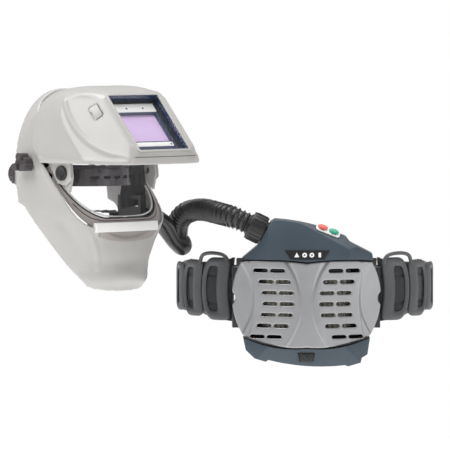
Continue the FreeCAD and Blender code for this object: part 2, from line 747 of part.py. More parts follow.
def headband():
    outer = Part.Face(oval(-36, -5, 100, 78, 2.3)).extrude(Vector(0, 0, 28))
    inner = Part.Face(oval(-37, -5, 97.5, 75.5, 2.3)).extrude(Vector(0, 0, 30))
    band = outer.cut(inner)
    slots = []
    for k in range(5):
        y = -40 + 20 * k
        slots.append(box(60, 130, y - 6, y + 6, -24, -20))
    return band.cut(slots)


def sweatband():
    outer = Part.Face(oval(-34, -5, 97.2, 75.2, 2.3)).extrude(Vector(0, 0, 24))
    inner = Part.Face(oval(-35, -5, 91, 69.5, 2.3)).extrude(Vector(0, 0, 26))
    return outer.cut(inner).cut(box(-200, 30, -200, 200, -100, 100))


def crown_strap(centre_x, width):
    """A strap over the head from one side of the headband to the other."""
    outer = arc(Vector(centre_x, -78, -8), Vector(centre_x, 0, 80), Vector(centre_x, 78, -8))
    inner = arc(Vector(centre_x, 75.6, -8), Vector(centre_x, 0, 77.6), Vector(centre_x, -75.6, -8))
    ends = [line(Vector(centre_x, 78, -8), Vector(centre_x, 75.6, -8)),
            line(Vector(centre_x, -75.6, -8), Vector(centre_x, -78, -8))]
    face = Part.Face(Part.Wire([outer, ends[0], inner, ends[1]]))
    face.translate(Vector(-width / 2, 0, 0))
    return face.extrude(Vector(width, 0, 0))


def side_arm(side):
    """Arm of the headgear that carries the pivot bolt."""
    y0 = min(side * 78.4, side * 81)
    y1 = max(side * 78.4, side * 81)
    arm = prism_y([(-16, 10), (14, 10), (30, -28), (-30, -28)], y0, y1)
    boss = cylinder(Vector(0, side * 78.4, 0), Vector(0, side * 97.5, 0), 11)
    return arm.fuse(boss).cut(cylinder(Vector(0, side * 70, 0), Vector(0, side * 110, 0), 5.05))


def tension_knob(side):
    """Round knob with three finger lobes, outside the shell."""
    body = cylinder(Vector(0, side * 106, 0), Vector(0, side * 122, 0), 12)
    lobes = []
    for k in range(3):
        a = math.radians(120 * k + 90)
        x = 11 * math.cos(a)
        z = 11 * math.sin(a)
        lobes.append(cylinder(Vector(x, side * 109, z), Vector(x, side * 127, z), 6))
    knob = body.fuse(lobes)
    return knob.cut(cylinder(Vector(0, side * 100, 0), Vector(0, side * 118, 0), 5.05))


def pivot_bolt(side):
    shank = cylinder(Vector(0, side * 74, 0), Vector(0, side * 117.6, 0), 5.0)
    head = cylinder(Vector(0, side * 71, 0), Vector(0, side * 74, 0), 8.5)
    return shank.fuse(head)


def face_seal():
    """Fabric seal across the bottom of the helmet, with a hole for the neck and jaw."""
    slab = prism_y([(-24, -58), (-8, -66), (96, -190), (100, -182), (-4, -56), (-22, -50)], -300, 300)
    body = face_loft(WALL + 0.8).common(slab)
    hole = cylinder(Vector(20, 0, -260), Vector(20, 0, 0), 62)
    return body.cut(hole)


# ---- helmet air inlet: worked out in the frame of the blower --------------------------
ELBOW_CENTRE = Vector(-200, 119, 72)
PORT = Vector(-262.5, 42.0, 124.0)
PORT_WAY = Vector(0.695, 0.719, 0.0)


def duct_wire(centre, heading, across, tall, power=3.0):
    wire = oval(0, 0, across, tall, power, 24)
    side = heading.cross(Vector(0, 0, 1)).normalize()
    up = side.cross(heading).normalize()
    wire.Placement = Placement(centre, Rotation(side, up, heading, "ZXY"))
    return wire


def elbow_world():
    bulb = Part.makeSphere(18.0, ELBOW_CENTRE)
    stub = cylinder(HOSE_ROUTE[-1], ELBOW_CENTRE, 18.5)
    way = PORT + PORT_WAY * 30 - ELBOW_CENTRE
    wires = [duct_wire(ELBOW_CENTRE, way, 17, 17, 2.2),
             duct_wire(ELBOW_CENTRE + way * 0.6, way, 13, 18, 2.6),
             duct_wire(PORT + PORT_WAY * 16, PORT_WAY * -1, 20, 14, 3.0),
             duct_wire(PORT - PORT_WAY * 14, PORT_WAY * -1, 20, 14, 3.0)]
    duct = Part.makeLoft(wires, True, False)
    elbow = bulb.fuse([stub, duct]).cut(hose_core(HOSE_DIAMETER + 0.4))
    return max(elbow.Solids, key=lambda solid: solid.Volume)


def elbow_solid():
    """The elbow brought into the helmet's own frame, to cut its port."""
    shape = elbow_world()
    frame = Placement(HELMET_ORIGIN, Rotation(Vector(0, 0, 1), HELMET_TURN)).inverse()
    shape.Placement = frame * shape.Placement
    return shape


def air_duct():
    body = box(24, 76, 72, 84, -104, -54)
    body = body.cut(box(27, 73, 75, 90, -101, -57))
    return body.cut(box(30, 70, 70, 78, -72, -60)).cut(elbow_solid())


# ---- write every piece ----------------------------------------------------------------
save("rear_housing", rear_housing())
save("grille_cover", grille_cover())
save("top_housing", top_housing().cut(cylinder(outlet_point(-30), outlet_point(30), 17.0)))
save("battery_pack", battery_pack())
save("battery_latch", battery_latch())
save("fan_volute", fan_volute())
save("fan_impeller", impeller())
save("fan_motor", motor())
save("filter", filter_block())
save("filter_gasket", filter_gasket())
save("outlet_spigot", outlet_spigot())
save("hose_cap", hose_cap())
save("hose_cuff", hose_cuff())
save("breathing_hose", breathing_hose())
save("circuit_board", box(-40, 50, -60, -10, 64, 65.6), box(-20, 10, -45, -20, 65.6, 72),
     box(18, 30, -40, -24, 65.6, 74))
save("display_window", display_window())
save("display_icons", *display_icons())
save("button_surround", button_surround())
save("button_red", button(-10))
save("button_green", button(9))
screws = []
for x, z in ((-86, 40), (86, 40), (-80, -56), (80, -56)):
    screws.append(cylinder(Vector(x, -30, z), Vector(x, BACK - WALL, z), 2.0))
save("housing_screws", *screws)

right_links = belt_links()
save("belt_pad_right", belt_pad())
save("belt_pad_left", mirror_x(belt_pad()))
save("belt_links_right", *right_links)
save("belt_links_left", *[mirror_x(link) for link in right_links])
save("harness_loop_right", belt_loop())
save("harness_loop_left", mirror_x(belt_loop()))
save("webbing_right", belt_webbing())
save("webbing_left", mirror_x(belt_webbing()))
save("buckle_socket", buckle_socket())
save("buckle_plug", buckle_plug())

save("hose_elbow", elbow_world())
save_helmet("helmet_shell", helmet_shell())

save_helmet("flip_front", flip_front())
save_helmet("front_cover_lens", lens_frame_box(113.4, 108.4, 112.5, 114.0))
save_helmet("lens_gasket", lens_frame_box(113.4, 108.4, 110.5, 112.3)
            .cut(lens_frame_box(104, 99, 100, 130)))
cartridge = lens_frame_box(112.6, 107.6, 98, 110.3).cut(lens_frame_box(90, 57, 90, 120))
save_helmet("lens_cartridge", cartridge)
save_helmet("filter_glass", lens_frame_box(89.6, 56.6, 103, 106.5))
sensors = [lens_disc(y, 36, 110.3, 110.9, 2.8) for y in (-22, 22)]
sensors += [lens_disc(y, -36, 110.3, 110.9, 1.8) for y in (-42, 42)]
save_helmet("light_sensors", *sensors)
solar_cell = lens_frame_box(60, 8, 110.3, 110.8)
solar_cell.translate(LENS_UP * -45.0)
save_helmet("solar_cell", solar_cell)
save_helmet("grind_button", grind_shape(0, 92, 101.5))
edge_frame, pivot_plates = shield_frame()
save_helmet("shield_frame", edge_frame)
save_helmet("lip_bar", lip_bar().cut(edge_frame))
save_helmet("shield_window", shield_window())
for label, side in (("right", -1), ("left", 1)):
    plate = pivot_plates[0 if side < 0 else 1]
    save_helmet("pivot_plate_" + label, plate.cut(edge_frame))
    save_helmet("flip_pivot_" + label, flip_pivot(side))
    save_helmet("tension_knob_" + label, tension_knob(side))
    save_helmet("pivot_bolt_" + label, pivot_bolt(side))
band_parts = [headband()]
save_helmet("headband", *band_parts)
save_helmet("headgear_arms", side_arm(-1), side_arm(1))
save_helmet("sweatband", sweatband())
save_helmet("crown_straps", crown_strap(-40, 14), crown_strap(25, 14))
ratchet_axle = cylinder(Vector(-134, 0, -22), Vector(-119, 0, -22), 3.0)
save_helmet("ratchet_housing", box(-120, -105.6, -24, 24, -35, -9).fuse(ratchet_axle))
save_helmet("ratchet_knob", ring(Vector(-138, 0, -22), Vector(-120.4, 0, -22), 17, 3.05)
            .fuse([cylinder(Vector(-136, 17 * math.cos(math.radians(t)), -22
                                   + 17 * math.sin(math.radians(t))),
                            Vector(-122, 17 * math.cos(math.radians(t)), -22
                                   + 17 * math.sin(math.radians(t))), 1.5)
                   for t in range(0, 360, 24)]))
save_helmet("face_seal", face_seal().cut(box(22, 78, 70, 86, -106, -52)))
save_helmet("helmet_air_duct", air_duct())
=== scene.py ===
import json
import math

import bmesh
import bpy
import numpy as np
from mathutils import Matrix, Vector
from mathutils.bvhtree import BVHTree


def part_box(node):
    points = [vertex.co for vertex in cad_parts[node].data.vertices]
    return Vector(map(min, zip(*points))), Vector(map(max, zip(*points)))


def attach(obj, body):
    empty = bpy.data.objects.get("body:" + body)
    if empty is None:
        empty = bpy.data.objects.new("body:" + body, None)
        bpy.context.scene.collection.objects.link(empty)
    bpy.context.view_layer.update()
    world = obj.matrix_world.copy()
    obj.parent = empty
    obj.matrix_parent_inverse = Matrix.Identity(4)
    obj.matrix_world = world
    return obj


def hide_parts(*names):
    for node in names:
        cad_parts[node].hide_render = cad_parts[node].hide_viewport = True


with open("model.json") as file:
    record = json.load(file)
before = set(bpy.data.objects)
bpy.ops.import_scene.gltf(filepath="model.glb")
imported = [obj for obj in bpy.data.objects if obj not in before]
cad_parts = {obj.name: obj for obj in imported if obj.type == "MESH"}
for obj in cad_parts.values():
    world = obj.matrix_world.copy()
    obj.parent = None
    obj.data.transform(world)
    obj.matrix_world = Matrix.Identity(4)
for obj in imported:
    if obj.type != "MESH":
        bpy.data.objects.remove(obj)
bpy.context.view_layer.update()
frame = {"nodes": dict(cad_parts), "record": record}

MM = 0.001
nodes = frame["nodes"]

# The helmet's own frame: X forward, Y to the wearer's left, Z up, on the tension knobs.
HELMET = Matrix.Translation((-0.370, 0.0, 0.212)) @ Matrix.Rotation(math.radians(-44.0), 4, "Z")
FLIP = Vector((0.0707, 0.0, -0.014))
LENS_TILT = math.radians(40.5)
LENS_NORMAL = Vector((math.cos(LENS_TILT), 0.0, math.sin(LENS_TILT)))
LENS_UP = Vector((-LENS_NORMAL.z, 0.0, LENS_NORMAL.x))

OUTLET = Vector((-0.067, -0.045, 0.102))
OUTLET_AXIS = Vector((-0.899, 0.0, 0.438)).normalized()
HOSE_DIAMETER = 0.037
HOSE_ROUTE = [OUTLET + OUTLET_AXIS * 0.026, OUTLET + OUTLET_AXIS * 0.0445,
              Vector((-0.122, -0.0385, 0.1266)), Vector((-0.1345, -0.027, 0.1292)),
              Vector((-0.144, -0.009, 0.131)), Vector((-0.1525, 0.012, 0.1324)),
              Vector((-0.1605, 0.0335, 0.1333)), Vector((-0.170, 0.056, 0.1332)),
              Vector((-0.182, 0.079, 0.131)), Vector((-0.1965, 0.097, 0.1245)),
              Vector((-0.2055, 0.108, 0.1125)), Vector((-0.2088, 0.1128, 0.1002)),
              Vector((-0.209, 0.115, 0.088))]


# ---- materials ------------------------------------------------------------------------
for imported in list(bpy.data.materials):
    bpy.data.materials.remove(imported)


def shader(name):
    material = bpy.data.materials.new(name)
    material.use_nodes = True
    tree = material.node_tree
    return material, tree, tree.nodes["Principled BSDF"]


def noise(tree, scale, detail=3.0, rough=0.55, stretch=None):
    place = tree.nodes.new("ShaderNodeTexCoord")
    source = place.outputs["Object"]
    if stretch:
        mapping = tree.nodes.new("ShaderNodeMapping")
        mapping.inputs["Scale"].default_value = stretch
        tree.links.new(source, mapping.inputs["Vector"])
        source = mapping.outputs["Vector"]
    texture = tree.nodes.new("ShaderNodeTexNoise")
    texture.inputs["Scale"].default_value = scale
    texture.inputs["Detail"].default_value = detail
    texture.inputs["Roughness"].default_value = rough
    tree.links.new(source, texture.inputs["Vector"])
    return texture.outputs["Fac"]


def ramp(tree, source, stops):
    node = tree.nodes.new("ShaderNodeValToRGB")
    elements = node.color_ramp.elements
    elements[0].position, elements[0].color = stops[0][0], (*stops[0][1], 1)
    elements[1].position, elements[1].color = stops[-1][0], (*stops[-1][1], 1)
    for position, colour in stops[1:-1]:
        elements.new(position).color = (*colour, 1)
    tree.links.new(source, node.inputs["Fac"])
    return node.outputs["Color"]


def spread(tree, source, low, high):
    node = tree.nodes.new("ShaderNodeMapRange")
    node.inputs["From Min"].default_value = 0.3
    node.inputs["From Max"].default_value = 0.7
    node.inputs["To Min"].default_value = low
    node.inputs["To Max"].default_value = high
    tree.links.new(source, node.inputs["Value"])
    return node.outputs["Result"]


def bump(tree, shader_node, sources):
    """Chain of (height, strength, distance) bumps into the shader's normal."""
    previous = None
    for height, strength, distance in sources:
        node = tree.nodes.new("ShaderNodeBump")
        node.inputs["Strength"].default_value = strength
        node.inputs["Distance"].default_value = distance
        tree.links.new(height, node.inputs["Height"])
        if previous:
            tree.links.new(previous, node.inputs["Normal"])
        previous = node.outputs["Normal"]
    tree.links.new(previous, shader_node.inputs["Normal"])


def moulded(name, dark, light, rough, metallic=0.0, coat=0.0, grain=1500.0, depth=0.00002,
            strength=0.25, orange_peel=0.0, specular=0.5):
    """Moulded plastic, painted or bare: a fine grain, soft colour drift and uneven gloss."""
    material, tree, bsdf = shader(name)
    tree.links.new(ramp(tree, noise(tree, 14.0), [(0.3, dark), (0.7, light)]),
                   bsdf.inputs["Base Color"])
    tree.links.new(spread(tree, noise(tree, 60.0, 5.0), rough[0], rough[1]),
                   bsdf.inputs["Roughness"])
    bsdf.inputs["Metallic"].default_value = metallic
    bsdf.inputs["Coat Weight"].default_value = coat
    bsdf.inputs["Coat Roughness"].default_value = 0.12
    bsdf.inputs["Specular IOR Level"].default_value = specular
    heights = [(noise(tree, grain, 2.0), strength, depth)]
    if orange_peel:
        heights.append((noise(tree, 240.0, 2.0), orange_peel, 0.00005))
    bump(tree, bsdf, heights)
    return material


def woven(name, dark, light, pitch=0.0012, depth=0.0002):
    """Fabric: two crossed bands make the weave, with a soft sheen."""
    material, tree, bsdf = shader(name)
    place = tree.nodes.new("ShaderNodeTexCoord")
    bands = []
    for axis in ("X", "Z"):
        wave = tree.nodes.new("ShaderNodeTexWave")
        wave.bands_direction = axis
        wave.inputs["Scale"].default_value = 0.314 / pitch
        wave.inputs["Distortion"].default_value = 0.6
        wave.inputs["Detail Scale"].default_value = 2.0
        tree.links.new(place.outputs["Object"], wave.inputs["Vector"])
        bands.append(wave.outputs["Fac"])
    mix = tree.nodes.new("ShaderNodeMath")
    mix.operation = "MULTIPLY"
    tree.links.new(bands[0], mix.inputs[0])
    tree.links.new(bands[1], mix.inputs[1])
    tree.links.new(ramp(tree, mix.outputs[0], [(0.0, dark), (1.0, light)]),
                   bsdf.inputs["Base Color"])
    tree.links.new(spread(tree, noise(tree, 90.0), 0.75, 0.95), bsdf.inputs["Roughness"])
    bsdf.inputs["Sheen Weight"].default_value = 0.35
    bsdf.inputs["Sheen Roughness"].default_value = 0.5
    bump(tree, bsdf, [(mix.outputs[0], 0.6, depth), (noise(tree, 60.0), 0.3, 0.0006)])
    return material


def glassy(name, tint, alpha, rough=0.03):
    material, tree, bsdf = shader(name)
    tree.links.new(ramp(tree, noise(tree, 5.0), [(0.3, tint), (0.7, [c * 0.97 for c in tint])]),
                   bsdf.inputs["Base Color"])
    bsdf.inputs["Roughness"].default_value = rough
    bsdf.inputs["Alpha"].default_value = alpha
    bsdf.inputs["Specular IOR Level"].default_value = 0.5
    bump(tree, bsdf, [(noise(tree, 30.0), 0.05, 0.0001)])
    return material


HELMET_GREY = moulded("helmet_grey", (0.42, 0.409, 0.393), (0.45, 0.44, 0.425), (0.30, 0.38),
                      coat=0.25, orange_peel=0.05, grain=2200.0, strength=0.08)
SLATE = moulded("slate_plastic", (0.036, 0.054, 0.072), (0.045, 0.064, 0.084), (0.38, 0.48),
                grain=2600.0, strength=0.35)
SILVER = moulded("silver_paint", (0.31, 0.312, 0.318), (0.36, 0.362, 0.37), (0.30, 0.38),
                 metallic=0.8, grain=3200.0, strength=0.18)
BLACK = moulded("black_plastic", (0.012, 0.012, 0.013), (0.02, 0.02, 0.022), (0.35, 0.5))
RUBBER = moulded("hose_rubber", (0.018, 0.018, 0.019), (0.030, 0.030, 0.032), (0.20, 0.28),
                 grain=900.0, strength=0.2)
KNOB = moulded("knob_grey", (0.045, 0.038, 0.042), (0.065, 0.056, 0.060), (0.38, 0.5))
LINK = moulded("link_grey", (0.062, 0.065, 0.069), (0.080, 0.084, 0.089), (0.42, 0.55),
               grain=1800.0, strength=0.4)
WHITE = moulded("white_plastic", (0.78, 0.77, 0.76), (0.83, 0.82, 0.81), (0.3, 0.4))
RED = moulded("red_button", (0.62, 0.09, 0.08), (0.70, 0.12, 0.10), (0.3, 0.4))
GREEN = moulded("green_button", (0.02, 0.30, 0.19), (0.03, 0.36, 0.23), (0.3, 0.4))
DISPLAY = moulded("display_black", (0.006, 0.006, 0.007), (0.010, 0.010, 0.012), (0.08, 0.14),
                  coat=0.5, strength=0.05)
ICON = moulded("icon_white", (0.75, 0.77, 0.76), (0.82, 0.84, 0.83), (0.4, 0.5))
STEEL = moulded("steel", (0.45, 0.45, 0.46), (0.55, 0.55, 0.56), (0.25, 0.4), metallic=1.0)
PAPER = moulded("filter_paper", (0.62, 0.60, 0.52), (0.72, 0.70, 0.62), (0.8, 0.95),
                grain=700.0, strength=0.6)
BOARD = moulded("board_green", (0.01, 0.10, 0.05), (0.02, 0.14, 0.07), (0.4, 0.5))
BAND = moulded("headband_plastic", (0.020, 0.013, 0.018), (0.032, 0.022, 0.028), (0.16, 0.24))
WEBBING = woven("webbing_weave", (0.008, 0.008, 0.009), (0.05, 0.05, 0.053), pitch=0.0016)
PAD = woven("pad_fabric", (0.006, 0.006, 0.007), (0.028, 0.028, 0.030))
SEAL = woven("seal_fabric", (0.010, 0.010, 0.011), (0.035, 0.035, 0.037), pitch=0.0009)
# Taupe: the face flange's colour, and on the chin inlay it is painted shade for the hollow under the
# lip bar.
TAUPE_AND_PAINTED_SHADE = moulded("flange_taupe", (0.30, 0.275, 0.26), (0.34, 0.31, 0.295), (0.35, 0.45))
NAVY = moulded("recess_navy", (0.022, 0.030, 0.075), (0.035, 0.062, 0.11), (0.16, 0.26),
               coat=0.6, strength=0.05)
CLEAR = glassy("clear_shield", (0.95, 0.97, 0.98), 0.012)
FILTER = moulded("filter_lens", (0.56, 0.42, 0.66), (0.66, 0.50, 0.76), (0.06, 0.10), coat=0.6,
                 strength=0.03)
SLOT_MATERIALS = {m.name: m for m in (
    HELMET_GREY, SLATE, SILVER, BLACK, RUBBER, KNOB, LINK, WHITE, RED, GREEN, DISPLAY, ICON,
    STEEL, PAPER, BOARD, BAND, PAD, SEAL, CLEAR, FILTER)}

node_slot = {s["node"]: s["material_slot"] for s in frame["record"]["subparts"]}
body_of_node = {n: b for b, ns in frame["record"]["behaviour"]["bodies"].items() for n in ns}
for node_name, node_object in nodes.items():
    node_object.data.materials.clear()
    node_object.data.materials.append(SLOT_MATERIALS[node_slot[node_name]])


# ---- pieces: helpers ------------------------------------------------------------------
def new_piece(name, mesh, material, body, replaces=()):
    piece = bpy.data.objects.new(name, mesh)
    bpy.context.scene.collection.objects.link(piece)
    if material:
        mesh.materials.clear()
        mesh.materials.append(material)
    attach(piece, body)
    if replaces:
        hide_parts(*replaces)
    return piece


def apply_modifiers(piece):
    depsgraph = bpy.context.evaluated_depsgraph_get()
    depsgraph.update()
    mesh = bpy.data.meshes.new_from_object(piece.evaluated_get(depsgraph))
    old = piece.data
    piece.modifiers.clear()
    piece.data = mesh
    bpy.data.meshes.remove(old)


def shade_smooth(mesh, angle=35.0):
    for polygon in mesh.polygons:
        polygon.use_smooth = True
    mesh.set_sharp_from_angle(angle=math.radians(angle))


EDGE = {"top_housing": 0.0022, "battery_pack": 0.0016, "tension_knob_right": 0.0018,
        "tension_knob_left": 0.0018, "hose_cap": 0.0005}


def softened(node, width=0.0008, segments=3, angle=28.0, name=None):
    """A CAD piece again, its flat faces whole and its edges rounded."""
    mesh = nodes[node].data.copy()
    bm = bmesh.new()
    bm.from_mesh(mesh)
    bmesh.ops.remove_doubles(bm, verts=bm.verts, dist=0.00001)
    bmesh.ops.dissolve_limit(bm, angle_limit=math.radians(1.5), verts=bm.verts, edges=bm.edges)
    bm.to_mesh(mesh)
    bm.free()
    piece = new_piece(name or node + "_finish", mesh, None, body_of_node[node],
                      [node])
    bevel = piece.modifiers.new("round", "BEVEL")
    bevel.width = width
    bevel.segments = segments
    bevel.limit_method = "ANGLE"
    bevel.angle_limit = math.radians(angle)
    bevel.harden_normals = False
    apply_modifiers(piece)
    shade_smooth(piece.data)
    return piece


def sweep_rings(points, radius_at, sides=48, up=Vector((0, 0, 1))):
    """Rings of vertices along a line of points, turned with it without twisting."""
    rings = []
    tangents = []
    for i in range(len(points)):
        a = points[max(0, i - 1)]
        b = points[min(len(points) - 1, i + 1)]
        tangents.append((b - a).normalized())
    normal = tangents[0].cross(up).normalized()
    length = 0.0
    for i, point in enumerate(points):
        if i:
            length += (point - points[i - 1]).length
            normal = (normal - tangents[i] * normal.dot(tangents[i])).normalized()
        other = tangents[i].cross(normal)
        r = radius_at(length)
        ring = []
        for k in range(sides):
            a = 2 * math.pi * k / sides
            ring.append(point + normal * (r * math.cos(a)) + other * (r * math.sin(a)))
        rings.append(ring)
    return rings


def tube_mesh(name, rings, cap=True):
    vertices = [v for ring in rings for v in ring]
    sides = len(rings[0])
    faces = []
    for i in range(len(rings) - 1):
        for k in range(sides):
            j = (k + 1) % sides
            faces.append((i * sides + k, i * sides + j, (i + 1) * sides + j, (i + 1) * sides + k))
    if cap:
        faces.append(tuple(reversed(range(sides))))
        faces.append(tuple(range((len(rings) - 1) * sides, len(rings) * sides)))
    mesh = bpy.data.meshes.new(name)
    mesh.from_pydata(vertices, [], faces)
    bm = bmesh.new()
    bm.from_mesh(mesh)
    bmesh.ops.recalc_face_normals(bm, faces=bm.faces)
    bm.to_mesh(mesh)
    bm.free()
    for polygon in mesh.polygons:
        polygon.use_smooth = True
    return mesh


def nurbs_line(points, resolution=12):
    """The smooth line through a route, read back from a curve with no bevel."""
    curve = bpy.data.curves.new("route", "CURVE")
    curve.dimensions = "3D"
    spline = curve.splines.new("NURBS")
    spline.points.add(len(points) - 1)
    for point, place in zip(spline.points, points):
        point.co = (*place, 1.0)
    spline.order_u = 3
    spline.use_endpoint_u = True
    spline.resolution_u = resolution
    holder = bpy.data.objects.new("route", curve)
    mesh = bpy.data.meshes.new_from_object(holder)
    line = [v.co.copy() for v in mesh.vertices]
    bpy.data.objects.remove(holder)
    bpy.data.meshes.remove(mesh)
    bpy.data.curves.remove(curve)
    return line


# ---- hose -----------------------------------------------------------------------------
def breathing_hose():
    """Corrugated hose of even pitch; the ribs fade into a smooth end."""
    line = nurbs_line(HOSE_ROUTE, 60)
    total = sum((b - a).length for a, b in zip(line, line[1:]))
    pitch = 0.0078
    ribbed = total * 0.92

    def radius_at(s):
        fade = min(1.0, max(0.0, (ribbed - s) / 0.045))
        wave = abs(math.sin(math.pi * s / pitch)) ** 0.7
        start = min(1.0, s / 0.004)
        return HOSE_DIAMETER / 2 * (1.0 - 0.20 * fade * start * wave)

    rings = sweep_rings(line, radius_at, 56)
    mesh = tube_mesh("breathing_hose", rings)
    piece = new_piece("ribbed_hose", mesh, RUBBER, "root", ["breathing_hose"])
    print("hose length", round(total, 4))


breathing_hose()


# ---- moulded skins: beads, creases and hollows ----------------------------------------
def rounded_line(points, rounds=3):
    """A line of points with its corners cut again and again, so that it runs smoothly."""
    line = [Vector(p) * MM for p in points]
    for _ in range(rounds):
        cut = [line[0]]
        for a, b in zip(line, line[1:]):
            cut += [a.lerp(b, 0.25), a.lerp(b, 0.75)]
        line = cut + [line[-1]]
    return np.array([tuple(p) for p in line])


def distance_to(points, line):
    best = np.full(len(points), 1e9)
    for a, b in zip(line, line[1:]):
        run = b - a
        along = np.clip((points - a) @ run / (run @ run), 0, 1)
        best = np.minimum(best, np.linalg.norm(points - a - along[:, None] * run, axis=1))
    return best


def read_points(mesh, normals=False):
    values = np.empty(len(mesh.vertices) * 3)
    source = mesh.vertices if not normals else mesh.vertex_normals
    source.foreach_get("vector" if normals else "co", values)
    return values.reshape(-1, 3)


def write_points(mesh, points):
    mesh.vertices.foreach_set("co", points.ravel())
    mesh.update()


def remeshed(node, voxel, smooth, name):
    """A CAD piece again as one even skin, its edges eased as moulding leaves them."""
    piece = new_piece(name, nodes[node].data.copy(), None, body_of_node[node],
                      [node])
    skin = piece.modifiers.new("skin", "REMESH")
    skin.mode = "VOXEL"
    skin.voxel_size = voxel
    ease = piece.modifiers.new("ease", "SMOOTH")
    ease.factor = 0.5
    ease.iterations = smooth
    apply_modifiers(piece)
    shade_smooth(piece.data, 60.0)
    return piece


def smoothstep(low, high, values):
    t = np.clip((values - low) / (high - low), 0, 1)
    return t * t * (3 - 2 * t)


# Lines on the right side of the helmet, in its own frame, in millimetres.  The left side
# is its mirror.  Each has how far it stands out of the skin, and its half width.
HOOD_CREASE = [(72, -96, 112), (77, -99, 100), (89, -102, 77), (103, -102, 59), (116, -101, 47),
               (131, -99, 35.5), (152, -94, 24), (180, -84, 15.5), (203, -72, 11)]
HOOD_SHOULDER = [(50, -92, 98), (75, -88, 108), (100, -80, 113), (118, -72, 112)]
HOOD_HEM = [(32, -110, 8), (54, -110, 8), (98, -110, 7.5), (139, -106, 7), (168, -93, 6),
            (203, -76, 6)]
HOOD_REAR = [(35, -109, 8), (20, -108, 25), (17, -106, 52), (22, -98, 88), (28, -70, 112),
             (30, -30, 121), (30, 0, 123)]
BROW = [(121, -62, 106), (112, -34, 118), (108, 0, 121), (112, 34, 118), (121, 62, 106)]
LIP_STEP = [(176, -88, 13), (200, -74, 13), (207, -60, 13), (207, 0, 13)]
SHELL_RIM = [(14, -104, 44), (15, -104, 26), (23, -104, 8), (40, -103, -16), (64, -100, -46),
             (84, -94, -70), (100, -84, -89)]
SHELL_BLADE = [(98, -90, -82), (106, -83, -95), (111, -74, -112), (111, -64, -130),
               (110, -57, -150), (106, -55, -164)]
SHELL_HOLLOW = [(70, -97, -92), (88, -90, -116), (96, -80, -142), (92, -74, -166)]
CHIN_BULGE = [(96, -60, -184), (110, -42, -182), (116, 0, -180)]
CHIN_PINCH = [(104, -62, -154), (113, -44, -156), (118, 0, -157)]


def relief(piece, features, centre):
    """Moves the outer face of a skin by the features' beads; gives back where it is and outwards."""
    mesh = piece.data
    world = read_points(mesh)
    turn = np.array(HELMET.to_3x3())
    local = (world - np.array(HELMET.translation)) @ turn
    normals = read_points(mesh, True) @ turn
    away = local - np.array(centre)
    away[:, 2] = np.where(local[:, 2] > centre[2], away[:, 2], 0.0)
    away /= np.linalg.norm(away, axis=1)[:, None]
    outer = smoothstep(0.05, 0.45, np.sum(normals * away, axis=1))
    folded = local.copy()
    folded[:, 1] = -np.abs(folded[:, 1])
    lift = np.zeros(len(local))
    for points, height, width in features:
        lift += height * MM * np.exp(-(distance_to(folded, rounded_line(points)) / (width * MM)) ** 2)
    local += normals * (lift * outer)[:, None]
    return local, away


def place_local(piece, local):
    turn = np.array(HELMET.to_3x3())
    write_points(piece.data, local @ turn.T + np.array(HELMET.translation))


def helmet_shell():
    """Chin guard and crown: a rim bead, blade creases, a pinched chin, a scoop under the lip."""
    piece = remeshed("helmet_shell", 0.0016, 5, "shell_finish")
    features = [(SHELL_RIM, 2.2, 4.5), (SHELL_BLADE, 2.0, 4.5), (SHELL_HOLLOW, -2.2, 11),
                (CHIN_BULGE, 4.5, 13), (CHIN_PINCH, -2.0, 12)]
    local, away = relief(piece, features, (0.02, 0.0, 0.03))
    mm = local / MM
    floor = -119.5 + 20.0 * (mm[:, 1] / 66.0) ** 2
    inside = smoothstep(0.0, 3.5, mm[:, 2] - floor) * smoothstep(0.0, 1.5, -105.5 - mm[:, 2])
    front = smoothstep(95.0, 104.0, mm[:, 0])
    local -= away * (4.5 * MM * inside * front)[:, None]
    place_local(piece, local)
    piece.data.materials.clear()
    piece.data.materials.append(HELMET_GREY)


def hood():
    """Flip-up front: crease and hem beads on each flank, a brow, and a step above the lip."""
    piece = remeshed("flip_front", 0.0016, 5, "hood_finish")
    features = [(HOOD_CREASE, 2.6, 3.4), (HOOD_SHOULDER, 1.8, 6.0), (HOOD_HEM, 1.6, 3.0),
                (HOOD_REAR, 1.6, 3.2), (BROW, 1.0, 7.0), (LIP_STEP, -1.2, 1.8)]
    local, _ = relief(piece, features, (0.07, 0.0, -0.014))
    place_local(piece, local)
    piece.data.materials.clear()
    piece.data.materials.append(HELMET_GREY)


helmet_shell()
hood()


def surface_strip(name, line, radius, material, body):
    """A thin bead of another colour along a line in the helmet's frame."""
    points = [HELMET @ Vector(p) for p in rounded_line(line)]
    rings = sweep_rings(points, lambda s: radius, 10)
    return new_piece(name, tube_mesh(name, rings), material, body)


# ---- lens bay -------------------------------------------------------------------------
def lens_matrix():
    """X across the helmet, Y up the lens, Z out of it, from the flip hinge."""
    across = Vector((0, 1, 0))
    turn = Matrix((across, LENS_UP, LENS_NORMAL)).transposed().to_4x4()
    return HELMET @ Matrix.Translation(FLIP) @ turn


LENS = lens_matrix()


def rounded_outline(x0, x1, y0, y1, radius, steps=5):
    points = []
    corners = ((x1 - radius, y1 - radius, 0), (x0 + radius, y1 - radius, 90),
               (x0 + radius, y0 + radius, 180), (x1 - radius, y0 + radius, 270))
    for cx, cy, start in corners:
        for k in range(steps + 1):
            a = math.radians(start + 90.0 * k / steps)
            points.append((cx + radius * math.cos(a), cy + radius * math.sin(a)))
    return points


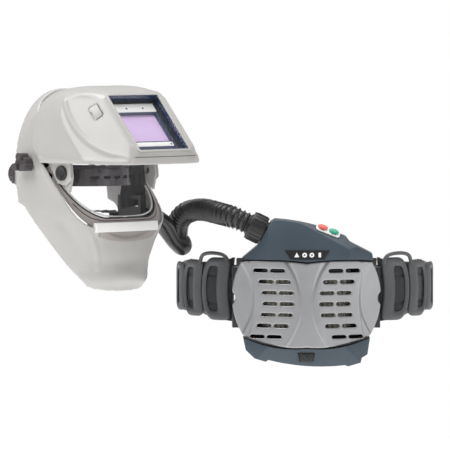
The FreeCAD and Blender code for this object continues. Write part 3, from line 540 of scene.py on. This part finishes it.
def plate_mesh(name, outline, low, high, place, ease=0.0004, hole=None):
    """An outline in millimetres pushed from low to high, its edges eased."""
    bm = bmesh.new()
    outer = [bm.verts.new((x * MM, y * MM, low * MM)) for x, y in outline]
    if hole:
        inner = [bm.verts.new((x * MM, y * MM, low * MM)) for x, y in hole]
        count = len(outer)
        for k in range(count):
            j = (k + 1) % count
            bm.faces.new((outer[k], outer[j], inner[j], inner[k]))
    else:
        bm.faces.new(outer)
    grown = bmesh.ops.extrude_face_region(bm, geom=list(bm.faces))
    moved = [v for v in grown["geom"] if isinstance(v, bmesh.types.BMVert)]
    bmesh.ops.translate(bm, verts=moved, vec=(0, 0, (high - low) * MM))
    bmesh.ops.recalc_face_normals(bm, faces=bm.faces)
    if ease:
        sharp = [e for e in bm.edges if len(e.link_faces) == 2 and e.calc_face_angle() > 0.9]
        bmesh.ops.bevel(bm, geom=sharp, offset=ease, segments=2, profile=0.6, affect="EDGES")
    bmesh.ops.transform(bm, matrix=place, verts=bm.verts)
    mesh = bpy.data.meshes.new(name)
    bm.to_mesh(mesh)
    bm.free()
    shade_smooth(mesh)
    return mesh


def lens_bay():
    """Dark liner of the recess, and the light strips on the face of the cartridge."""
    rim = rounded_outline(-57.6, 57.6, -55.1, 55.1, 3)
    wall = rounded_outline(-56.2, 56.2, -53.7, 53.7, 2.4)
    new_piece("bay_liner", plate_mesh("bay_liner", rim, 110.4, 124.6, LENS, 0.0003, wall),
              NAVY, "hood")
    strips = {"upper_strip": (-52, 50, 31.5, 48.0), "lower_strip": (-50, 44, -38.5, -30.0)}
    for name, (x0, x1, y0, y1) in strips.items():
        outline = rounded_outline(x0, x1, y0, y1, 1.2)
        new_piece(name, plate_mesh(name, outline, 109.6, 110.9, LENS), WHITE,
                  "hood")
    rim = rounded_outline(-46.4, 50.0, -29.8, 29.8, 1.6)
    wall = rounded_outline(-44.6, 48.0, -28.2, 28.2, 1.2)
    new_piece("window_edge", plate_mesh("window_edge", rim, 109.8, 110.7, LENS, 0.0002, wall),
              NAVY, "hood")
    dots = [(-13.8, 38.7, 1.9), (23.0, 38.7, 1.9), (-43.0, -34.2, 1.4), (39.5, -34.2, 1.4)]
    sensors = []
    for x, y, radius in dots:
        outline = [(x + radius * math.cos(a), y + radius * math.sin(a))
                   for a in [2 * math.pi * k / 20 for k in range(20)]]
        sensors.append(plate_mesh("sensor", outline, 110.6, 111.3, LENS, 0.0002))
    joined = bmesh.new()
    for mesh in sensors:
        joined.from_mesh(mesh)
        bpy.data.meshes.remove(mesh)
    mesh = bpy.data.meshes.new("sensor_eyes")
    joined.to_mesh(mesh)
    joined.free()
    shade_smooth(mesh)
    new_piece("sensor_eyes", mesh, DISPLAY, "hood", ["light_sensors"])


lens_bay()
for lens_part in ("lens_cartridge", "solar_cell"):
    nodes[lens_part].data.materials.clear()
    nodes[lens_part].data.materials.append(NAVY)
surface_strip("lip_line", [(201, -66, 13.2), (206.5, -58, 13.2), (208.3, -30, 13.2), (208.8, 0, 13.2),
                           (208.3, 30, 13.2), (206.5, 58, 13.2), (201, 70, 13.2)],
              0.0005, BAND, "hood")


def lip_bar():
    """Bar across the front under the face opening, a little proud of the shell."""
    front = [(x, 125.6 - 0.0011 * x * x) for x in range(-71, 72, 6)]
    outline = [(x, y) for x, y in front] + [(69, 99), (-71, 99)]
    place = HELMET @ Matrix(((0, 1, 0, 0), (1, 0, 0, 0), (0, 0, -1, 0), (0, 0, 0, 1)))
    mesh = plate_mesh("lip_bar_finish", outline, 92.4, 107.6, place, 0.0011)
    new_piece("lip_bar_finish", mesh, WHITE, "root", ["lip_bar"])


def oval_point(angle, reach, half, power, middle=20.0):
    """A point of a flattened oval about the helmet's axis, in millimetres."""
    c = math.cos(angle)
    s = math.sin(angle)
    return (middle + reach * math.copysign(abs(c) ** (2 / power), c),
            half * math.copysign(abs(s) ** (2 / power), s))


def flange_height(x, above=0.0, floor=-86.5):
    """The gasket's height: close to the shell's cut at the ears, a shelf's width off it in front."""
    cut = 6.0 - 1.2045 * (x - 28)
    shelf = min(14.0, max(1.5, (x - 60) * 0.24))
    return max(cut + shelf + above, floor)


def shield_flange():
    """Shelf round the face opening, the black gasket at its inner edge and the shield's rim."""
    steps = 72
    inner = []
    outer = []
    for k in range(steps + 1):
        angle = math.radians(-84 + 168 * k / steps)
        x, y = oval_point(angle, 98.6, 95.6, 3.4)
        z = flange_height(x)
        inner.append(Vector((x, y, z)))
        x, y = oval_point(angle, 100.5, 102.6, 4.0)
        z = max(6.0 - 1.2045 * (x - 28), -93.5)
        outer.append(Vector((x, y, z - 0.5)))
    bm = bmesh.new()
    rows = 6
    grid = []
    for a, b in zip(inner, outer):
        column = []
        for r in range(rows + 1):
            t = r / rows
            point = a.lerp(b, t) + Vector((0, 0, -2.4 * math.sin(math.pi * t)))
            column.append(bm.verts.new(HELMET @ (point * MM)))
        grid.append(column)
    for left, right in zip(grid, grid[1:]):
        for r in range(rows):
            bm.faces.new((left[r], right[r], right[r + 1], left[r + 1]))
    bmesh.ops.recalc_face_normals(bm, faces=bm.faces)
    mesh = bpy.data.meshes.new("face_flange")
    bm.to_mesh(mesh)
    bm.free()
    flange = new_piece("face_flange", mesh, TAUPE_AND_PAINTED_SHADE, "root", ["shield_frame"])
    thick = flange.modifiers.new("wall", "SOLIDIFY")
    thick.thickness = 0.0016
    thick.offset = 0.0
    apply_modifiers(flange)
    shade_smooth(flange.data)

    def bead(name, line, radius, material):
        world = [HELMET @ (p * MM) for p in line]
        new_piece(name, tube_mesh(name, sweep_rings(world, lambda s: radius, 10)), material,
                  "root")

    lift = Vector((0, 0, 0.8))
    bead("face_gasket", [p + lift for p in inner], 0.0015, BLACK)
    second = [a.lerp(b, 0.36) + Vector((0, 0, -0.6)) for a, b in zip(inner, outer)]
    bead("flange_groove", second[10:-10], 0.0008, BLACK)
    rim = []
    for k in range(steps + 1):
        angle = math.radians(-80 + 160 * k / steps)
        x, y = oval_point(angle, 95.4, 92.4, 3.4)
        rim.append(Vector((x, y, flange_height(x, 2.2, -84.3))))
    bead("shield_rim", rim, 0.0013, WHITE)
    tab = plate_mesh("shield_tab", rounded_outline(-6, 5, -3.2, 3.2, 1.0), 115.0, 119.4,
                     HELMET @ Matrix(((0, 0, 1, 0), (1, 0, 0, -0.006), (0, 1, 0, -0.0865),
                                      (0, 0, 0, 1))), 0.0006)
    new_piece("shield_tab", tab, WHITE, "root")


def pivot_buttons():
    """Large dark pivot discs on the ears of the hood, with a rounded rim and a hollow face."""
    profile = [(0.0, 2.2), (4.0, 2.2), (7.5, 3.0), (10.2, 4.6), (11.3, 4.2), (11.8, 2.6), (11.8, 0.0)]
    for name, side in (("right", -1), ("left", 1)):
        bm = bmesh.new()
        sides = 40
        rings = []
        for radius, out in profile[1:]:
            ring = []
            for k in range(sides):
                a = 2 * math.pi * k / sides
                spot = FLIP / MM + Vector((radius * math.cos(a), side * (98.2 + out),
                                           radius * math.sin(a)))
                ring.append(bm.verts.new(HELMET @ (spot * MM)))
            rings.append(ring)
        bm.faces.new(rings[0])
        bm.faces.new(rings[-1])
        for low, high in zip(rings, rings[1:]):
            for k in range(sides):
                j = (k + 1) % sides
                bm.faces.new((low[k], low[j], high[j], high[k]))
        bmesh.ops.recalc_face_normals(bm, faces=bm.faces)
        mesh = bpy.data.meshes.new("pivot_button_" + name)
        bm.to_mesh(mesh)
        bm.free()
        shade_smooth(mesh, 50)
        new_piece("pivot_button_" + name, mesh, BLACK, "hood",
                  ["flip_pivot_" + name])


def bezel():
    rim = rounded_outline(-60, 60, -59.0, 57.5, 5)
    wall = rounded_outline(-54.4, 55.4, -55.6, 54.8, 2)
    new_piece("lens_bezel", plate_mesh("lens_bezel", rim, 122.6, 125.0, LENS, 0.0008, wall),
              HELMET_GREY, "hood")


def inflated(node, name, material, cap, voxel=0.005, pressure=4.0, frames=20, shrink=0.0012):
    """A padded piece: the plain solid remeshed, swelled by pressure as cloth, then smoothed."""
    piece = new_piece(name, nodes[node].data.copy(), material,
                      body_of_node[node], [node])
    skin = piece.modifiers.new("skin", "REMESH")
    skin.mode = "VOXEL"
    skin.voxel_size = voxel
    ease = piece.modifiers.new("ease", "SMOOTH")
    ease.iterations = 3
    apply_modifiers(piece)
    start = read_points(piece.data) - read_points(piece.data, True) * shrink
    write_points(piece.data, start)
    cloth = piece.modifiers.new("cloth", "CLOTH")
    cloth.settings.quality = 5
    cloth.settings.mass = 0.3
    cloth.settings.tension_stiffness = 12
    cloth.settings.compression_stiffness = 12
    cloth.settings.bending_stiffness = 0.6
    cloth.settings.use_pressure = True
    cloth.settings.uniform_pressure_force = pressure
    cloth.settings.effector_weights.gravity = 0
    cloth.point_cache.frame_start = 1
    cloth.point_cache.frame_end = frames
    scene = bpy.context.scene
    for frame_number in range(1, frames + 1):
        scene.frame_set(frame_number)
    swelled = piece.evaluated_get(bpy.context.evaluated_depsgraph_get()).to_mesh()
    values = np.empty(len(swelled.vertices) * 3)
    swelled.vertices.foreach_get("co", values)
    move = values.reshape(-1, 3) - start
    length = np.linalg.norm(move, axis=1)[:, None]
    move *= np.minimum(1.0, cap / np.maximum(length, 1e-9))
    piece.modifiers.clear()
    scene.frame_set(1)
    write_points(piece.data, start + move)
    fine = piece.modifiers.new("fine", "SUBSURF")
    fine.levels = 1
    apply_modifiers(piece)
    shade_smooth(piece.data, 80)
    return piece


def sew(piece, groove, depth, width):
    """A stitched channel: the skin dips where groove(points) is near nought."""
    points = read_points(piece.data)
    normals = read_points(piece.data, True)
    near = np.exp(-(groove(points) / width) ** 2)
    write_points(piece.data, points - normals * (near * depth)[:, None])


def belt_pads():
    """Hip pads: foam in a woven cover, sewn down in two long channels."""
    for name in ("belt_pad_right", "belt_pad_left"):
        low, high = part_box(name)
        pad = inflated(name, name + "_soft", PAD, 0.004)
        span = high[2] - low[2]
        for share in (0.3, 0.7):
            level = low[2] + span * share
            sew(pad, lambda p: p[:, 2] - level, 0.0022, 0.0022)


def soft_headgear():
    """Brow pad and face seal."""
    pad = inflated("sweatband", "brow_pad", PAD, 0.002, 0.004, 3.0, shrink=0.0008)
    sew(pad, lambda p: p[:, 2] - 0.190, 0.0010, 0.0016)
    seal = inflated("face_seal", "fabric_face_seal", SEAL, 0.003, 0.005, 2.0)
    points = read_points(seal.data)
    front = smoothstep(-0.362, -0.348, points[:, 0])
    points[:, 2] -= np.maximum(0.0, points[:, 2] - 0.128) * 0.9 * front
    angle = np.arctan2(points[:, 1], points[:, 0] + 0.355)
    gather = np.sin(angle * 46.0) * 0.0007 + np.sin(angle * 19.0 + 1.3) * 0.0009
    write_points(seal.data, points + read_points(seal.data, True) * gather[:, None])


def strap_finish(node, name, material):
    """Webbing and straps: the CAD band with rounded edges and its own material."""
    piece = softened(node, 0.0006, 2, 40.0, name)
    piece.data.materials.clear()
    piece.data.materials.append(material)
    return piece


def elbow():
    """One smooth moulding from the hose's end to the port in the helmet."""
    piece = remeshed("hose_elbow", 0.0022, 70, "elbow_finish")
    piece.data.materials.clear()
    piece.data.materials.append(RUBBER)


def surface_patch(name, target, upper, lower, place, direction, material, body, rise=0.0005):
    """A thin inlay laid on a piece, between an upper and a lower line of points."""
    tree = BVHTree.FromPolygons([v.co.copy() for v in target.data.vertices],
                                [tuple(p.vertices) for p in target.data.polygons])
    across = 40
    rows = 8

    def along(line, share):
        spot = share * (len(line) - 1)
        k = min(int(spot), len(line) - 2)
        return Vector(line[k]).lerp(Vector(line[k + 1]), spot - k)

    bm = bmesh.new()
    grid = []
    for i in range(across + 1):
        column = []
        for j in range(rows + 1):
            point = place @ (along(upper, i / across).lerp(along(lower, i / across), j / rows) * MM)
            hit = tree.ray_cast(point, direction)[0]
            if hit is None:
                hit = tree.find_nearest(point)[0]
            column.append(bm.verts.new(hit - direction * rise))
        grid.append(column)
    for left, right in zip(grid, grid[1:]):
        for j in range(rows):
            bm.faces.new((left[j], right[j], right[j + 1], left[j + 1]))
    mesh = bpy.data.meshes.new(name)
    bm.to_mesh(mesh)
    bm.free()
    shade_smooth(mesh, 60)
    piece = new_piece(name, mesh, material, body)
    wall = piece.modifiers.new("wall", "SOLIDIFY")
    wall.thickness = 0.0008
    wall.offset = -1.0
    apply_modifiers(piece)
    return piece


def chin_recess():
    """Painted shade: a darker taupe inlay laid in the hollow under the lip bar, standing in for the
    shade there.
    """
    shell = bpy.data.objects["shell_finish"]
    upper = [(170, y, -107.5) for y in range(-62, 67, 8)]
    lower = [(170, y, -110.0 - 14.0 * max(0.0, 1 - (y / 66) ** 2) ** 0.6) for y in range(-62, 67, 8)]
    inward = (HELMET.to_3x3() @ Vector((-1, 0, 0))).normalized()
    surface_patch("chin_recess", shell, upper, lower, HELMET, inward, TAUPE_AND_PAINTED_SHADE, "root")


def face_curtain():
    """Black fabric of the face seal, hung down the far side of the opening."""
    front = [(67, -4), (69, -20), (70, -36), (69, -52), (66, -68)]
    rear = [(40, -2), (28, -18), (18, -34), (14, -56), (14, -77)]
    steps = 24
    bm = bmesh.new()
    grid = []
    for i in range(steps + 1):
        t = i / steps * 4
        k = min(int(t), 3)
        a = Vector(front[k]).lerp(Vector(front[k + 1]), t - k)
        b = Vector(rear[k]).lerp(Vector(rear[k + 1]), t - k)
        row = []
        for j in range(steps + 1):
            p = a.lerp(b, j / steps)
            rearward = j / steps
            fold = 0.9 * math.sin(j * 0.9 + i * 0.12) + 0.5 * math.sin(j * 0.4 - i * 0.3)
            spot = Vector((p.x + 27 * rearward, 88.5 - 27 * rearward + fold, p.y))
            row.append(bm.verts.new(HELMET @ (spot * MM)))
        grid.append(row)
    for low, high in zip(grid, grid[1:]):
        for j in range(steps):
            bm.faces.new((low[j], low[j + 1], high[j + 1], high[j]))
    mesh = bpy.data.meshes.new("face_curtain")
    bm.to_mesh(mesh)
    bm.free()
    shade_smooth(mesh, 80)
    piece = new_piece("face_curtain", mesh, SEAL, "root")
    wall = piece.modifiers.new("wall", "SOLIDIFY")
    wall.thickness = 0.0016
    apply_modifiers(piece)


def cover():
    """Filter cover: proud lobes with the slots, a waisted middle and cheeks set back."""
    piece = remeshed("grille_cover", 0.0014, 3, "cover_finish")
    points = read_points(piece.data)
    x = np.abs(points[:, 0]) / MM
    z = points[:, 2] / MM
    waist = 9.5 + 23.0 * ((z + 13) / 66) ** 2
    cheek = 84.5 + 15.0 * ((z + 5) / 51) ** 2
    inset = 1.9 * (1 - smoothstep(-3.0, 3.0, x - waist)) + 2.2 * smoothstep(-1.5, 2.5, x - cheek)
    points[:, 1] += inset * MM
    write_points(piece.data, points)
    shade_smooth(piece.data, 50)


def belt_point(degrees, level, offset, side):
    a = math.radians(degrees)
    return Vector((side * (192 + offset) * math.sin(a), 135 - (138 + offset) * math.cos(a), level)) * MM


def belt_links():
    """Three bowed links a side, each with a long open window."""
    spans = ((34.0, 50.5, -43, 57), (51.5, 68.5, -38, 52), (69.5, 88, -31, 46))
    sides = 72
    rows = 7
    for name, side in (("right", 1), ("left", -1)):
        bm = bmesh.new()
        for first, last, low, high in spans:
            middle = (first + last) / 2
            level = (low + high) / 2
            grid = []
            for k in range(sides):
                t = 2 * math.pi * k / sides
                c = math.copysign(abs(math.cos(t)) ** 0.42, math.cos(t))
                s = math.copysign(abs(math.sin(t)) ** 0.55, math.sin(t))
                column = []
                for r in range(rows + 1):
                    f = r / rows
                    wide = (last - first) / 2 * (0.42 + 0.58 * f)
                    shift = (last - first) / 2 * 0.24 * (1 - f)
                    tall = (high - low) / 2 * (0.74 + 0.26 * f)
                    z = level + tall * s
                    bow = 3.4 * (1 - ((z - level) / ((high - low) / 2)) ** 2)
                    crown = 2.2 * math.sin(math.pi * f)
                    angle = middle + shift + bow + wide * c
                    column.append(bm.verts.new(belt_point(angle, z, 13.6 + crown, side)))
                grid.append(column)
            for k in range(sides):
                left = grid[k]
                right = grid[(k + 1) % sides]
                for r in range(rows):
                    bm.faces.new((left[r], right[r], right[r + 1], left[r + 1]))
        bmesh.ops.recalc_face_normals(bm, faces=bm.faces)
        mesh = bpy.data.meshes.new("links_finish_" + name)
        bm.to_mesh(mesh)
        bm.free()
        shade_smooth(mesh, 60)
        piece = new_piece("links_finish_" + name, mesh, LINK, "root",
                          ["belt_links_" + name])
        wall = piece.modifiers.new("wall", "SOLIDIFY")
        wall.thickness = 0.003
        wall.offset = 0.0
        apply_modifiers(piece)
        loop = [(36.6, 46), (37.4, 55), (39.2, 61), (42, 63.5), (47, 64.5), (51, 63), (53.4, 60),
                (54.6, 54), (55.2, 46)]
        line = nurbs_line([belt_point(a, z, 15.5, side) for a, z in loop])
        mesh = tube_mesh("harness_bar_" + name, sweep_rings(line, lambda s: 0.0030, 16))
        shade_smooth(mesh, 60)
        new_piece("harness_bar_" + name, mesh, LINK, "root", ["harness_loop_" + name])


def stretch(piece, direction, amount):
    points = read_points(piece.data)
    centre = (points.max(axis=0) + points.min(axis=0)) / 2
    along = np.array(direction.normalized())
    points += ((points - centre) @ along)[:, None] * along * (amount - 1)
    write_points(piece.data, points)


def blower_trim():
    """Flat long buttons, a dark rear shell, the seal behind the cover and the latch's arrow."""
    run = Vector((0.964, 0, -0.267))
    press = Vector((-0.279429, 0.658654, -0.698572))
    width = run.cross(press)
    for node in ("button_red", "button_green"):
        piece = softened(node, 0.0006, 3, 28.0)
        stretch(piece, run, 1.5)
        stretch(piece, width, 0.8)
    shell = softened("rear_housing", 0.0008, 3, 28.0)
    shell.data.materials.clear()
    shell.data.materials.append(BLACK)
    seam = plate_mesh("cover_seal", rounded_outline(-112, 112, 48, 60, 2), 40.5, 44.5,
                      Matrix(((1, 0, 0, 0), (0, 0, -1, 0), (0, 1, 0, 0), (0, 0, 0, 1))), 0.0004)
    new_piece("cover_seal", seam, BLACK, "root")
    low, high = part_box("battery_latch")
    middle = (low[0] + high[0]) / 2
    y = low[1] - 0.0002
    arrow = [Vector((middle - 0.006, y, high[2] - 0.003)), Vector((middle, y, low[2] + 0.004)),
             Vector((middle + 0.006, y, high[2] - 0.003))]
    new_piece("latch_arrow", tube_mesh("latch_arrow", sweep_rings(arrow, lambda s: 0.0006, 8)), LINK,
              "latch")


lip_bar()
shield_flange()
pivot_buttons()
bezel()
belt_pads()
soft_headgear()
strap_finish("crown_straps", "crown_straps_finish", BAND)
for side_name in ("right", "left"):
    strap_finish("webbing_" + side_name, "webbing_finish_" + side_name, WEBBING)
elbow()
for hard in ("top_housing", "battery_pack", "battery_latch", "headband", "tension_knob_right",
             "tension_knob_left", "ratchet_knob", "ratchet_housing", "buckle_socket",
             "buckle_plug", "grind_button", "hose_cap", "button_surround"):
    softened(hard, EDGE.get(hard, 0.0007), 3, 28.0)


chin_recess()
face_curtain()
cover()
belt_links()
blower_trim()


FLOOR_GLOW = 0.7
SURROUND = 1.0


# ---- stage ----------------------------------------------------------------------------
FLOOR_HALF_SIZE = 6.0
FLOOR_HEIGHT = -0.75


def stage():
    bm = bmesh.new()
    bmesh.ops.create_grid(bm, x_segments=1, y_segments=1, size=FLOOR_HALF_SIZE)
    mesh = bpy.data.meshes.new("floor")
    bm.to_mesh(mesh)
    bm.free()
    floor = bpy.data.objects.new("floor", mesh)
    bpy.context.scene.collection.objects.link(floor)
    floor.location = (0, 0, FLOOR_HEIGHT)
    material, _, bsdf = shader("floor_white")
    bsdf.inputs["Base Color"].default_value = (0.95, 0.95, 0.95, 1)
    bsdf.inputs["Roughness"].default_value = 0.9
    bsdf.inputs["Emission Color"].default_value = (1, 1, 1, 1)
    bsdf.inputs["Emission Strength"].default_value = FLOOR_GLOW
    mesh.materials.append(material)


def area_light(name, place, target, size, power, colour=(1, 1, 1)):
    data = bpy.data.lights.new(name, "AREA")
    data.shape = "RECTANGLE"
    data.size, data.size_y = size
    data.energy = power
    data.color = colour
    lamp = bpy.data.objects.new(name, data)
    lamp.location = place
    lamp.rotation_euler = (Vector(target) - Vector(place)).to_track_quat("-Z", "Y").to_euler()
    bpy.context.scene.collection.objects.link(lamp)


stage()
area_light("key", (-1.5, -0.9, 1.7), (-0.1, 0, 0.1), (1.2, 1.2), 24)
area_light("top", (0.0, 0.1, 2.2), (-0.1, 0, 0.1), (1.8, 1.8), 40)
area_light("fill", (1.9, -1.3, 0.5), (-0.1, 0, 0.1), (1.2, 1.6), 5)


def studio_world():
    """Even white surround, brightest in a band about the horizon."""
    world = bpy.data.worlds.new("studio")
    world.use_nodes = True
    tree = world.node_tree
    place = tree.nodes.new("ShaderNodeTexCoord")
    split = tree.nodes.new("ShaderNodeSeparateXYZ")
    tree.links.new(place.outputs["Generated"], split.inputs["Vector"])
    level = tree.nodes.new("ShaderNodeValToRGB")
    stops = ((0.0, 0.25), (0.36, 0.35), (0.40, 1.0), (0.515, 1.0), (0.56, 0.45), (1.0, 0.40))
    elements = level.color_ramp.elements
    elements[0].position, elements[0].color = stops[0][0], (stops[0][1],) * 3 + (1,)
    elements[1].position, elements[1].color = stops[-1][0], (stops[-1][1],) * 3 + (1,)
    for position, value in stops[1:-1]:
        elements.new(position).color = (value, value, value, 1)
    height = tree.nodes.new("ShaderNodeMapRange")
    height.inputs["From Min"].default_value = -1.0
    tree.links.new(split.outputs["Z"], height.inputs["Value"])
    tree.links.new(height.outputs["Result"], level.inputs["Fac"])
    background = tree.nodes["Background"]
    tree.links.new(level.outputs["Color"], background.inputs["Color"])
    background.inputs["Strength"].default_value = SURROUND
    bpy.context.scene.world = world


studio_world()
bpy.context.scene.view_settings.view_transform = "Standard"

camera_data = bpy.data.cameras.new("camera")
camera_data.lens = 425.0
camera_data.sensor_width = 36.0
camera = bpy.data.objects.new("camera", camera_data)
bpy.context.scene.collection.objects.link(camera)
TARGET = Vector((-0.130, -0.02, 0.1115))
ELEVATION = math.radians(2.6)
DISTANCE = 8.5
camera.location = TARGET + Vector((0, -math.cos(ELEVATION), math.sin(ELEVATION))) * DISTANCE
camera.rotation_euler = (TARGET - camera.location).to_track_quat("-Z", "Y").to_euler()
bpy.context.scene.camera = camera
